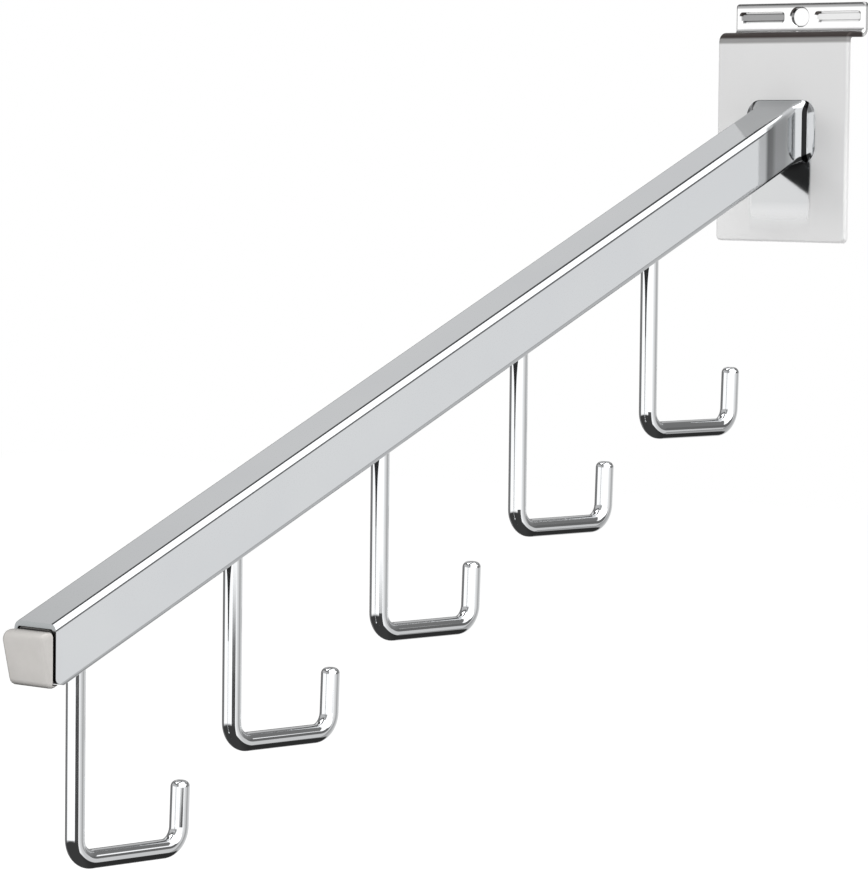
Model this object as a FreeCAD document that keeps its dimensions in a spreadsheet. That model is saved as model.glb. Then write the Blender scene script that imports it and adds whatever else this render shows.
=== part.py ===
import FreeCAD, Part

import math
import os

import Sketcher
from FreeCAD import Placement, Rotation, Vector

# A slatwall hook: a folded bracket that hooks in a slat's groove, a square arm that slopes down to the
# front, five J hooks of bent wire under it, and a plug in its open end.
# +X runs along the wall, +Y into the wall and +Z up. The origin is the middle of the back plate's rear
# face, which lies on the wall.

doc = FreeCAD.newDocument("SlatwallHook")

# Driving dimensions, in millimetres and degrees

SIZES = (
    ("plate_width", 62.0, "bracket, side to side"),
    ("plate_height", 78.0, "back plate, from its lower edge to the top of the ledge"),
    ("sheet_thickness", 2.0, "folded sheet"),
    ("fold_radius", 1.5, "inner radius of both folds"),
    ("plate_corner", 2.0, "radius of the plate's lower corners"),
    ("sheet_edge", 0.9, "rounded edge along the front of the sheet"),
    ("slat_gap", 8.0, "from the wall's face to the lip, which takes the slat's edge"),
    ("lip_height", 11.0, "lip above the ledge"),
    ("lip_corner", 1.2, "radius of the lip's upper corners"),
    ("lip_hole_below", 1.0, "sheet between the lip's fold and its hole"),
    ("lip_hole_above", 1.9, "sheet between the hole and the lip's upper edge"),
    ("lip_hole_extra", 1.8, "how much wider than high the lip's hole is"),
    ("lip_hole_chamfer", 0.5, "broken edge at the front of the hole"),
    ("recess_length", 22.0, "pressed recess, along the lip"),
    ("recess_width", 4.2, "pressed recess, up the lip"),
    ("recess_depth", 1.0, "pressed recess, into the lip, with walls at 45 degrees"),
    ("recess_corner", 1.5, "corner radius of the recess, at the lip's face"),
    ("recess_margin", 1.8, "from the end of the lip to the recess"),
    ("arm_size", 20.0, "square tube, across its flats"),
    ("arm_wall", 1.5, "wall of the tube"),
    ("arm_corner", 2.4, "outer corner radius of the tube"),
    ("arm_length", 403.5, "tube along its axis, between its two mitred ends"),
    ("arm_slope", 25.0, "tube's slope below the horizontal"),
    ("arm_trim", 3.5, "height of the sharp tip that is cut off the lower corner of the tube's front end"),
    ("arm_trim_angle", 38.0, "angle of that cut to the tube's underside"),
    ("arm_nose", 1.8, "radius between that cut and the upright end"),
    ("arm_rise", 2.0, "tube's axis above the middle of the plate, at the plate's front face"),
    ("root_bead", 4.0, "leg of the weld round the tube's root, along the tube"),
    ("root_bead_side", 6.5, "leg of that weld on the plate, beside the tube"),
    ("root_bead_top", 0.7, "leg of that weld on the plate, above and below the tube"),
    ("hook_wire", 6.4, "diameter of the hooks' wire"),
    ("hook_bend", 7.0, "bend radius of the wire's centre line"),
    ("hook_drop", 64.0, "from the tube's underside to the centre line of the hook's foot"),
    ("hook_reach", 46.0, "from the shank's centre line to the tip's end"),
    ("hook_tip", 22.0, "height of the tip's end above the centre line of the foot"),
    ("hook_lean", 2.0, "lean of the tip, away from the shank"),
    ("hook_end_round", 2.2, "rounding of the wire's free end"),
    ("hook_bead", 1.3, "width of the weld round the shank, on the tube"),
    ("hook_bead_depth", 2.0, "reach of that weld down the shank"),
    ("hook_margin", 14.5, "from the tube's front end to the first hook"),
    ("hook_pitch", 76.0, "from hook to hook along the tube"),
    ("cap_thickness", 4.2, "plug's head at the arm's axis, in front of the tube"),
    ("cap_lean", 9.0, "head's front face, leaning from the upright"),
    ("cap_corner", 3.4, "corner radius of the head"),
    ("cap_round", 2.5, "rounding of the head's front edge"),
    ("cap_groove", 1.0, "groove between the head and the tube's end, along the arm"),
    ("cap_groove_depth", 0.8, "depth of that groove, down to the collar that rests on the tube's end"),
    ("cap_fit", 0.3, "clearance between the plug's body and the tube's bore, on each side"),
    ("cap_plug", 13.0, "length of the plug's body"),
    ("cap_wall", 1.6, "wall of the plug's hollow body"),
    ("cap_rib", 0.2, "height of a gripping rib on the plug's body"),
    ("cap_rib_width", 1.0, "width of a gripping rib"),
    ("cap_rib_pitch", 3.5, "from rib to rib"),
)
HOOKS = 5
CAP_RIBS = 3

sheet = doc.addObject("Spreadsheet::Sheet", "Sizes")
for row, (alias, value, meaning) in enumerate(SIZES, start=1):
    sheet.set("A%d" % row, meaning)
    sheet.set("B%d" % row, str(value))
    sheet.setAlias("B%d" % row, alias)
doc.recompute()


# Sketches and bodies bound to the sheet


def body_named(label):
    body = doc.addObject("PartDesign::Body", label)
    body.Label = label
    return body


def value_of(text):
    return float(sheet.evalExpression(text))


def sketch_on(body, role, label, lift="0", tilt="0", slide="0"):
    """Start a sketch on one of the body's origin planes, lifted off it, tilted about and slid along its X."""
    plane = next(item for item in body.Origin.OriginFeatures if item.Role == role)
    sketch = body.newObject("Sketcher::SketchObject", label)
    sketch.AttachmentSupport = [(plane, "")]
    sketch.MapMode = "FlatFace"
    sketch.AttachmentOffset = Placement(Vector(), Rotation(Vector(1, 0, 0), value_of(tilt)))
    sketch.setExpression("AttachmentOffset.Base.x", slide)
    sketch.setExpression("AttachmentOffset.Base.z", lift)
    sketch.setExpression("AttachmentOffset.Rotation.Angle", tilt)
    return sketch


def point(along, up):
    return Vector(value_of(along), value_of(up), 0)


def dimension(sketch, name, kind, *where, size):
    value = value_of(size)
    if kind == "Angle":
        value = math.radians(value)
    index = sketch.addConstraint(Sketcher.Constraint(kind, *where, value))
    sketch.renameConstraint(index, name)
    sketch.setExpression("Constraints." + name, size)


def join(sketch, kind, first, second):
    """Join the end of one edge to the start of the next, at a corner or in a smooth run."""
    sketch.addConstraint(Sketcher.Constraint(kind, first, 2, second, 1))


def rounded_rectangle(sketch, width, height, radius, along="0", up="0"):
    """Draw a rectangle with round corners about a centre, as four lines and four arcs."""
    half_w = value_of(width) / 2
    half_h = value_of(height) / 2
    corner = value_of(radius)
    middle = point(along, up)
    # Each side and the corner after it, anticlockwise from the lower side
    for turn in range(4):
        angle = turn * math.pi / 2
        reach = (half_h, half_w)[turn % 2]
        half_run = (half_w, half_h)[turn % 2] - corner
        out = Vector(math.sin(angle), -math.cos(angle), 0)
        run = Vector(math.cos(angle), math.sin(angle), 0)
        start = middle + out * reach - run * half_run
        end = middle + out * reach + run * half_run
        sketch.addGeometry(Part.LineSegment(start, end))
        centre = end - out * corner
        circle = Part.Circle(centre, Vector(0, 0, 1), corner)
        sketch.addGeometry(Part.ArcOfCircle(circle, angle - math.pi / 2, angle))
    for edge in range(8):
        join(sketch, "Tangent", edge, (edge + 1) % 8)
    for side, kind in ((0, "Horizontal"), (2, "Vertical"), (4, "Horizontal"), (6, "Vertical")):
        sketch.addConstraint(Sketcher.Constraint(kind, side))
    for corner_arc in (3, 5, 7):
        sketch.addConstraint(Sketcher.Constraint("Equal", 1, corner_arc))
    dimension(sketch, "corner", "Radius", 1, size=radius)
    dimension(sketch, "width", "DistanceX", 6, 1, 2, 1, size=width)
    dimension(sketch, "height", "DistanceY", 0, 1, 4, 1, size=height)
    dimension(sketch, "right", "DistanceX", -1, 1, 2, 1, size="%s / 2 + %s" % (width, along))
    dimension(sketch, "top", "DistanceY", -1, 1, 4, 1, size="%s / 2 + %s" % (height, up))


def round_hole(sketch, diameter, along="0", up="0"):
    circle = Part.Circle(point(along, up), Vector(0, 0, 1), value_of(diameter) / 2)
    sketch.addGeometry(circle)
    dimension(sketch, "diameter", "Diameter", 0, size=diameter)
    for axis, name, place in (("DistanceX", "along", along), ("DistanceY", "up", up)):
        if place == "0":
            other = {"DistanceX": -2, "DistanceY": -1}[axis]
            sketch.addConstraint(Sketcher.Constraint("PointOnObject", 0, 3, other))
        else:
            dimension(sketch, name, axis, -1, 1, 0, 3, size=place)


def slot_hole(sketch, width, height, up):
    """Draw a hole with round ends, wider than high, on the sketch's upright axis."""
    radius = value_of(height) / 2
    half = value_of(width) / 2 - radius
    level = value_of(up)
    right, left = Vector(half, level, 0), Vector(-half, level, 0)
    lift = Vector(0, radius, 0)
    quarter = math.pi / 2
    sketch.addGeometry(Part.LineSegment(left - lift, right - lift))
    sketch.addGeometry(Part.ArcOfCircle(Part.Circle(right, Vector(0, 0, 1), radius), -quarter, quarter))
    sketch.addGeometry(Part.LineSegment(right + lift, left + lift))
    sketch.addGeometry(Part.ArcOfCircle(Part.Circle(left, Vector(0, 0, 1), radius), quarter, 3 * quarter))
    for edge in range(4):
        join(sketch, "Tangent", edge, (edge + 1) % 4)
    sketch.addConstraint(Sketcher.Constraint("Horizontal", 0))
    sketch.addConstraint(Sketcher.Constraint("Symmetric", 1, 3, 3, 3, -2))
    dimension(sketch, "round", "Radius", 1, size=height + " / 2")
    dimension(sketch, "centres", "DistanceX", 3, 3, 1, 3, size="%s - %s" % (width, height))
    dimension(sketch, "up", "DistanceY", -1, 1, 1, 3, size=up)


def pad(body, sketch, label, length, symmetric=False):
    feature = body.newObject("PartDesign::Pad", label)
    feature.Profile = sketch
    if symmetric:
        feature.SideType = "Symmetric"
    feature.setExpression("Length", length)
    doc.recompute()
    return feature


def cut(body, sketch, label, depth=None):
    """Pocket a sketch: to a depth behind its plane, or right through the body both ways."""
    before = body.Shape.Volume
    feature = body.newObject("PartDesign::Pocket", label)
    feature.Profile = sketch
    if depth is None:
        feature.SideType = "Symmetric"
        feature.Type = "ThroughAll"
    else:
        feature.setExpression("Length", depth)
    doc.recompute()
    if body.Shape.Volume >= before:
        raise RuntimeError("%s removed nothing" % label)
    return feature


def edges_where(feature, wanted):
    return ["Edge%d" % number for number, edge in enumerate(feature.Shape.Edges, start=1) if wanted(edge)]


def soften(body, kind, label, size, wanted):
    """Fillet or chamfer the edges of the body's last feature that a test picks out."""
    base = body.Tip
    feature = body.newObject("PartDesign::" + kind, label)
    feature.Base = (base, edges_where(base, wanted))
    feature.setExpression({"Fillet": "Radius", "Chamfer": "Size"}[kind], size)
    doc.recompute()
    return feature


# Folded bracket: the sheet's section, drawn from the side, and its cut-outs and presswork


def folded_section(sketch):
    """Draw the sheet from the side, up its front, over both folds and back down its rear."""
    inner = value_of("Sizes.fold_radius")
    thick = value_of("Sizes.sheet_thickness")
    outer = inner + thick
    low = -value_of("Sizes.plate_height") / 2
    ledge = value_of("Sizes.plate_height") / 2
    fold_y = inner
    fold_z = ledge - outer
    lip_front = value_of("Sizes.slat_gap")
    lip_top = ledge + value_of("Sizes.lip_height")
    lip_fold = Vector(lip_front - inner, ledge + inner, 0)
    plate_fold = Vector(fold_y, fold_z, 0)
    right = math.pi / 2

    def line(y1, z1, y2, z2):
        sketch.addGeometry(Part.LineSegment(Vector(y1, z1, 0), Vector(y2, z2, 0)))

    def arc(centre, radius, start, end):
        circle = Part.Circle(centre, Vector(0, 0, 1), radius)
        sketch.addGeometry(Part.ArcOfCircle(circle, start, end))

    line(-thick, low, -thick, fold_z)
    arc(plate_fold, outer, right, 2 * right)
    line(fold_y, ledge, lip_fold.x, ledge)
    arc(lip_fold, inner, 3 * right, 4 * right)
    line(lip_front, lip_fold.y, lip_front, lip_top)
    line(lip_front, lip_top, lip_front + thick, lip_top)
    line(lip_front + thick, lip_top, lip_front + thick, lip_fold.y)
    arc(lip_fold, outer, 3 * right, 4 * right)
    line(lip_fold.x, ledge - thick, fold_y, ledge - thick)
    arc(plate_fold, inner, right, 2 * right)
    line(0, fold_z, 0, low)
    line(0, low, -thick, low)
    front, top_fold, shelf, lip_bend, lip, lip_edge = range(6)
    lip_rear, rear_bend, under, under_fold, rear, foot = range(6, 12)

    # An arc runs anticlockwise, so each arc says which of its ends meets the line before it
    def meet(kind, first, first_end, second, second_end):
        sketch.addConstraint(Sketcher.Constraint(kind, first, first_end, second, second_end))

    meet("Tangent", front, 2, top_fold, 2)
    meet("Tangent", top_fold, 1, shelf, 1)
    meet("Tangent", shelf, 2, lip_bend, 1)
    meet("Tangent", lip_bend, 2, lip, 1)
    meet("Coincident", lip, 2, lip_edge, 1)
    meet("Coincident", lip_edge, 2, lip_rear, 1)
    meet("Tangent", lip_rear, 2, rear_bend, 2)
    meet("Tangent", rear_bend, 1, under, 1)
    meet("Tangent", under, 2, under_fold, 1)
    meet("Tangent", under_fold, 2, rear, 1)
    meet("Coincident", rear, 2, foot, 1)
    meet("Coincident", foot, 2, front, 1)
    for edge in (front, lip, lip_rear, rear):
        sketch.addConstraint(Sketcher.Constraint("Vertical", edge))
    for edge in (shelf, lip_edge, under, foot):
        sketch.addConstraint(Sketcher.Constraint("Horizontal", edge))
    meet("Coincident", top_fold, 3, under_fold, 3)
    meet("Coincident", lip_bend, 3, rear_bend, 3)
    sketch.addConstraint(Sketcher.Constraint("PointOnObject", rear, 2, -2))
    dimension(sketch, "thickness", "DistanceX", foot, 2, foot, 1, size="Sizes.sheet_thickness")
    dimension(sketch, "plate_fold", "Radius", under_fold, size="Sizes.fold_radius")
    dimension(sketch, "lip_fold", "Radius", lip_bend, size="Sizes.fold_radius")
    dimension(sketch, "below", "DistanceY", foot, 1, -1, 1, size="Sizes.plate_height / 2")
    dimension(sketch, "ledge", "DistanceY", -1, 1, shelf, 1, size="Sizes.plate_height / 2")
    dimension(sketch, "gap", "DistanceX", -1, 1, lip, 2, size="Sizes.slat_gap")
    dimension(sketch, "lip_height", "DistanceY", shelf, 2, lip, 2, size="Sizes.lip_height")


def make_bracket():
    body = body_named("slatwall_bracket")
    section = sketch_on(body, "YZ_Plane", "bracket_section")
    folded_section(section)
    pad(body, section, "folded_sheet", "Sizes.plate_width", symmetric=True)

    ledge = value_of("Sizes.plate_height") / 2
    half_width = value_of("Sizes.plate_width") / 2
    tiny = 1e-4

    def outer_corner(height):
        def test(edge):
            box = edge.BoundBox
            at_side = abs(abs(box.Center.x) - half_width) < tiny
            return at_side and abs(box.ZMin - height) < tiny and abs(box.ZMax - height) < tiny
        return test

    lip_top = ledge + value_of("Sizes.lip_height")
    soften(body, "Fillet", "plate_corners", "Sizes.plate_corner", outer_corner(-ledge))
    soften(body, "Fillet", "lip_corners", "Sizes.lip_corner", outer_corner(lip_top))

    plate_front = -value_of("Sizes.sheet_thickness")

    def front_outline(edge):
        box = edge.BoundBox
        on_front = abs(box.YMax - plate_front) < tiny and abs(box.YMin - plate_front) < tiny
        fold_line = box.ZMin > 0 and box.XMax - box.XMin > half_width
        return on_front and not fold_line

    soften(body, "Fillet", "sheet_edges", "Sizes.sheet_edge", front_outline)

    # The hole fills the lip's flat height between its two margins, and the recesses are level with it
    high = "(Sizes.lip_height - Sizes.fold_radius - Sizes.lip_hole_below - Sizes.lip_hole_above)"
    wide = "(%s + Sizes.lip_hole_extra)" % high
    hole_rise = "Sizes.plate_height / 2 + Sizes.fold_radius + Sizes.lip_hole_below + %s / 2" % high
    # The drawing plane looks along -Y, so a cut from the lip's front goes behind it
    front = "-Sizes.slat_gap"
    hole = sketch_on(body, "XZ_Plane", "lip_hole_outline", lift=front)
    slot_hole(hole, wide, high, hole_rise)
    cut(body, hole, "lip_hole", "Sizes.sheet_thickness * 2")
    rim = sketch_on(body, "XZ_Plane", "lip_hole_rim_outline", lift=front)
    rim_width, rim_height = ("(%s + 2 * Sizes.lip_hole_chamfer)" % size for size in (wide, high))
    slot_hole(rim, rim_width, rim_height, hole_rise)
    broken = cut(body, rim, "lip_hole_rim", "Sizes.lip_hole_chamfer")
    broken.TaperAngle = -45
    doc.recompute()

    along = "(Sizes.plate_width - Sizes.recess_length) / 2 - Sizes.recess_margin"
    recess = sketch_on(body, "XZ_Plane", "recess_outline", lift=front)
    long_side, short_side = "Sizes.recess_length", "Sizes.recess_width"
    rounded_rectangle(recess, long_side, short_side, "Sizes.recess_corner", along, hole_rise)
    pressed = cut(body, recess, "recess_right", "Sizes.recess_depth")
    pressed.TaperAngle = -45
    mirrored = body.newObject("PartDesign::Mirrored", "recess_left")
    mirrored.Originals = [pressed]
    plane = next(item for item in body.Origin.OriginFeatures if item.Role == "YZ_Plane")
    mirrored.MirrorPlane = (plane, [""])
    body.Tip = mirrored
    doc.recompute()
    return body


# Square arm: the tube with the weld round its root, drawn about its own axis and then sloped

# Each section of the root's weld: how far it stands out and how far along the tube it lies, as shares
ROOT_WELD = (("foot", 1.0, 0.0), ("apron", 0.7, 0.12), ("throat", 0.42, 0.42), ("toe", -0.05, 1.0))


def place_on_arm(body):
    """Put a piece drawn about the arm's axis at the plate's front face, turned to the arm's slope."""
    body.Placement = Placement(Vector(), Rotation(Vector(1, 0, 0), value_of("Sizes.arm_slope")))
    body.setExpression("Placement.Rotation.Angle", "Sizes.arm_slope")
    body.setExpression("Placement.Base.y", "-Sizes.sheet_thickness")
    body.setExpression("Placement.Base.z", "Sizes.arm_rise")


def square_cut(body, label, along, slope, side):
    """Cut off all that lies behind (side 1) or in front (side -1) of a sloping face across the arm."""
    outline = sketch_on(body, "YZ_Plane", label + "_outline", slide=along)
    reach = 2 * value_of("Sizes.arm_size")
    angle = math.radians(value_of(slope))
    up = Vector(math.sin(angle), math.cos(angle), 0)
    away = Vector(math.cos(angle), -math.sin(angle), 0) * side
    corners = [up * -reach, up * -reach + away * reach, up * reach + away * reach, up * reach]
    for number in range(4):
        outline.addGeometry(Part.LineSegment(corners[number], corners[(number + 1) % 4]))
    for number in range(4):
        join(outline, "Coincident", number, (number + 1) % 4)
    face = 3
    outline.addConstraint(Sketcher.Constraint("Symmetric", face, 1, face, 2, -1, 1))
    for first, second in ((0, 1), (1, 2), (2, 3)):
        outline.addConstraint(Sketcher.Constraint("Perpendicular", first, second))
    dimension(outline, "face", "Distance", face, size="4 * Sizes.arm_size")
    dimension(outline, "depth", "Distance", 0, size="2 * Sizes.arm_size")
    dimension(outline, "slope", "Angle", 0, size="-" + slope if side > 0 else "180 - " + slope)
    cut(body, outline, label)


def end_cut(body, label, ahead, radius, side):
    """Cut off all that lies behind (side 1) or in front (side -1) of the tube's upright front end.

    The end's sharp lower tip is trimmed off at an angle. The cut may lie ahead of the tube's own end and
    have its own radius where the two faces meet.
    """
    outline = sketch_on(body, "YZ_Plane", label + "_outline", slide="-Sizes.arm_length - " + ahead)
    turn = "(90 + Sizes.arm_slope - Sizes.arm_trim_angle)"
    rise = "(Sizes.arm_trim + %s * tan(%s / 2)) * cos(Sizes.arm_slope)" % (radius, turn)
    drop = "(Sizes.arm_size / 2 - %s)" % rise
    slope = math.radians(value_of("Sizes.arm_slope"))
    fall = math.radians(value_of("Sizes.arm_trim_angle"))
    nose = value_of(radius)
    reach = 2 * value_of("Sizes.arm_size")
    start = Vector(-value_of(drop) * math.tan(slope), -value_of(drop), 0)
    centre = start + Vector(math.cos(slope), -math.sin(slope), 0) * nose
    leave = centre - Vector(math.sin(fall), math.cos(fall), 0) * nose
    low = Vector(leave.x + (reach + leave.y) / math.tan(fall), -reach, 0)
    top = Vector(reach * math.tan(slope), reach, 0)
    far = side * 2 * reach
    circle = Part.Circle(centre, Vector(0, 0, 1), nose)
    outline.addGeometry(Part.LineSegment(start, top))
    outline.addGeometry(Part.ArcOfCircle(circle, math.pi - slope, 3 * math.pi / 2 - fall))
    corners = [leave, low, Vector(far, -reach, 0), Vector(far, reach, 0), top]
    for first, second in zip(corners, corners[1:]):
        outline.addGeometry(Part.LineSegment(first, second))
    face, arc, trim, foot, side_edge, roof = range(6)
    outline.addConstraint(Sketcher.Constraint("Tangent", face, 1, arc, 1))
    join(outline, "Tangent", arc, trim)
    for first, second in ((trim, foot), (foot, side_edge), (side_edge, roof)):
        join(outline, "Coincident", first, second)
    outline.addConstraint(Sketcher.Constraint("Coincident", roof, 2, face, 2))
    for line, kind in ((foot, "Horizontal"), (side_edge, "Vertical"), (roof, "Horizontal")):
        outline.addConstraint(Sketcher.Constraint(kind, line))
    dimension(outline, "lean", "Angle", face, size="90 - Sizes.arm_slope")
    dimension(outline, "trim", "Angle", trim, size="-Sizes.arm_trim_angle")
    dimension(outline, "nose", "Radius", arc, size=radius)
    dimension(outline, "back", "DistanceX", face, 1, -1, 1, size=drop + " * tan(Sizes.arm_slope)")
    dimension(outline, "drop", "DistanceY", face, 1, -1, 1, size=drop)
    dimension(outline, "below", "DistanceY", foot, 1, -1, 1, size="2 * Sizes.arm_size")
    dimension(outline, "above", "DistanceY", -1, 1, roof, 1, size="2 * Sizes.arm_size")
    ends = (-1, 1, foot, 2) if side > 0 else (foot, 2, -1, 1)
    dimension(outline, "away", "DistanceX", *ends, size="4 * Sizes.arm_size")
    cut(body, outline, label)


def make_arm():
    body = body_named("arm_tube")
    # The tube starts behind the plate's face and is then mitred to it
    spare = "(Sizes.arm_size * tan(Sizes.arm_slope) + Sizes.arm_wall)"
    outline = sketch_on(body, "XZ_Plane", "tube_outline", lift="-" + spare)
    rounded_rectangle(outline, "Sizes.arm_size", "Sizes.arm_size", "Sizes.arm_corner")
    pad(body, outline, "tube_outside", "Sizes.arm_length + Sizes.arm_size / 2 + " + spare)

    # The bead's sections lie parallel to the plate: its foot, its crown and its toe on the tube
    bead = body.newObject("PartDesign::AdditiveLoft", "root_weld")
    sections = []
    for name, share_out, share_along in ROOT_WELD:
        section = sketch_on(
            body,
            "XZ_Plane",
            "weld_" + name,
            lift="%g * Sizes.root_bead / cos(Sizes.arm_slope)" % share_along,
            tilt="-Sizes.arm_slope",
        )
        rounded_rectangle(
            section,
            "(Sizes.arm_size + %g * Sizes.root_bead_side)" % (2 * share_out),
            "(Sizes.arm_size / cos(Sizes.arm_slope) + %g * Sizes.root_bead_top)" % (2 * share_out),
            "(Sizes.arm_corner + %g * Sizes.root_bead_side)" % (0.6 * share_out),
        )
        sections.append(section)
    bead.Profile = sections[0]
    bead.Sections = sections[1:]
    body.Tip = bead
    doc.recompute()

    bore = sketch_on(body, "XZ_Plane", "tube_bore_outline")
    inside = "(Sizes.arm_size - 2 * Sizes.arm_wall)"
    rounded_rectangle(bore, inside, inside, "(Sizes.arm_corner - Sizes.arm_wall)")
    cut(body, bore, "tube_bore")

    # Both ends are mitred upright
    square_cut(body, "mitre", "0", "Sizes.arm_slope", 1)
    end_cut(body, "front_end", "0", "Sizes.arm_nose", -1)
    place_on_arm(body)
    return body


# Plug in the arm's open end


def make_cap():
    body = body_named("end_cap")
    # The head and its collar start well behind the tube's end and are then cut to it
    behind = "Sizes.arm_length - Sizes.arm_size / 2"
    nose = "0.8 * Sizes.arm_nose"
    head = sketch_on(body, "XZ_Plane", "head_outline", lift=behind)
    rounded_rectangle(head, "Sizes.arm_size", "Sizes.arm_size", "Sizes.cap_corner")
    pad(body, head, "head", "Sizes.arm_size")
    end_cut(body, "head_rear", "Sizes.cap_groove", nose, 1)
    front = "(-Sizes.arm_length - Sizes.cap_thickness)"
    lean = "(Sizes.arm_slope - Sizes.cap_lean)"
    square_cut(body, "head_front", front, lean, -1)
    angle = math.radians(value_of(lean))
    outward = Vector(0, -math.cos(angle), math.sin(angle))
    on_axis = Vector(0, value_of(front), 0)

    def on_front(edge):
        middle = edge.valueAt((edge.FirstParameter + edge.LastParameter) / 2)
        points = [vertex.Point for vertex in edge.Vertexes] + [middle]
        return all(abs((place - on_axis).dot(outward)) < 1e-4 for place in points)

    soften(body, "Fillet", "head_round", "Sizes.cap_round", on_front)

    inside_head = "0.8 * Sizes.cap_thickness"
    collar_size = "(Sizes.arm_size - 2 * Sizes.cap_groove_depth)"
    collar = sketch_on(body, "XZ_Plane", "collar_outline", lift=behind)
    rounded_rectangle(collar, collar_size, collar_size, "(Sizes.cap_corner - Sizes.cap_groove_depth)")
    pad(body, collar, "collar", "Sizes.arm_size / 2 + " + inside_head)
    end_cut(body, "collar_rear", "0", nose, 1)

    plug_size = "(Sizes.arm_size - 2 * Sizes.arm_wall - 2 * Sizes.cap_fit)"
    plug_corner = "(Sizes.arm_corner - Sizes.arm_wall)"
    plug = sketch_on(body, "XZ_Plane", "plug_outline", lift="Sizes.arm_length - Sizes.cap_plug")
    rounded_rectangle(plug, plug_size, plug_size, plug_corner)
    pad(body, plug, "plug_body", "Sizes.cap_plug + " + inside_head)

    rib_size = "(%s + 2 * Sizes.cap_rib)" % plug_size
    first_rib = "Sizes.arm_length - Sizes.cap_plug + Sizes.cap_rib_width"
    rib = sketch_on(body, "XZ_Plane", "rib_outline", lift=first_rib)
    rounded_rectangle(rib, rib_size, rib_size, plug_corner)
    one_rib = pad(body, rib, "rib", "Sizes.cap_rib_width")
    ribs = body.newObject("PartDesign::LinearPattern", "ribs")
    ribs.Originals = [one_rib]
    ribs.Direction = (rib, ["N_Axis"])
    ribs.Mode = "Spacing"
    ribs.setExpression("Offset", "Sizes.cap_rib_pitch")
    ribs.Occurrences = CAP_RIBS
    body.Tip = ribs
    doc.recompute()

    hollow_size = "(%s - 2 * Sizes.cap_wall)" % plug_size
    hollow = sketch_on(body, "XZ_Plane", "plug_hollow_outline", lift="Sizes.arm_length")
    rounded_rectangle(hollow, hollow_size, hollow_size, "(Sizes.arm_corner - Sizes.arm_wall) / 2")
    cut(body, hollow, "plug_hollow", "Sizes.cap_plug + Sizes.cap_wall")
    place_on_arm(body)
    return body


# J hooks of bent wire, each drawn about the point where its shank's centre line meets the tube

# Each section of a shank's weld: shares of its width outside the wire and of its reach down the shank
SHANK_WELD = (("foot", 1.0, 0.0), ("waist", 0.3, 0.45), ("toe", -0.2, 1.0))


def wire_path(sketch):
    """Draw the wire's centre line from the side: shank, bend, foot, bend and leaning tip."""
    bend = value_of("Sizes.hook_bend")
    top = value_of("Sizes.hook_wire")
    foot_z = -value_of("Sizes.hook_drop")
    lean = math.radians(value_of("Sizes.hook_lean"))
    tip = Vector(value_of("Sizes.hook_reach"), foot_z + value_of("Sizes.hook_tip"), 0)
    right = math.pi / 2
    # The tip's bend turns through a right angle less the lean
    centre_y = tip.x - value_of("Sizes.hook_tip") * math.tan(lean)
    centre_y -= bend * (1 - math.sin(lean)) / math.cos(lean)
    second = Vector(centre_y, foot_z + bend, 0)
    leave = second + Vector(math.cos(lean), -math.sin(lean), 0) * bend
    sketch.addGeometry(Part.LineSegment(Vector(0, top, 0), Vector(0, foot_z + bend, 0)))
    first_circle = Part.Circle(Vector(bend, foot_z + bend, 0), Vector(0, 0, 1), bend)
    sketch.addGeometry(Part.ArcOfCircle(first_circle, 2 * right, 3 * right))
    sketch.addGeometry(Part.LineSegment(Vector(bend, foot_z, 0), Vector(second.x, foot_z, 0)))
    second_circle = Part.Circle(second, Vector(0, 0, 1), bend)
    sketch.addGeometry(Part.ArcOfCircle(second_circle, 3 * right, 4 * right - lean))
    sketch.addGeometry(Part.LineSegment(leave, tip))
    shank, _, foot, _, tip_line = range(5)
    for edge in range(4):
        join(sketch, "Tangent", edge, edge + 1)
    sketch.addConstraint(Sketcher.Constraint("Vertical", shank))
    sketch.addConstraint(Sketcher.Constraint("Horizontal", foot))
    sketch.addConstraint(Sketcher.Constraint("PointOnObject", shank, 1, -2))
    sketch.addConstraint(Sketcher.Constraint("Equal", 1, 3))
    dimension(sketch, "spare", "DistanceY", -1, 1, shank, 1, size="Sizes.hook_wire")
    dimension(sketch, "bend", "Radius", 1, size="Sizes.hook_bend")
    dimension(sketch, "drop", "DistanceY", foot, 2, -1, 1, size="Sizes.hook_drop")
    dimension(sketch, "reach", "DistanceX", -1, 1, tip_line, 2, size="Sizes.hook_reach")
    dimension(sketch, "tip", "DistanceY", foot, 2, tip_line, 2, size="Sizes.hook_tip")
    dimension(sketch, "lean", "Angle", tip_line, size="90 - Sizes.hook_lean")


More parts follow.
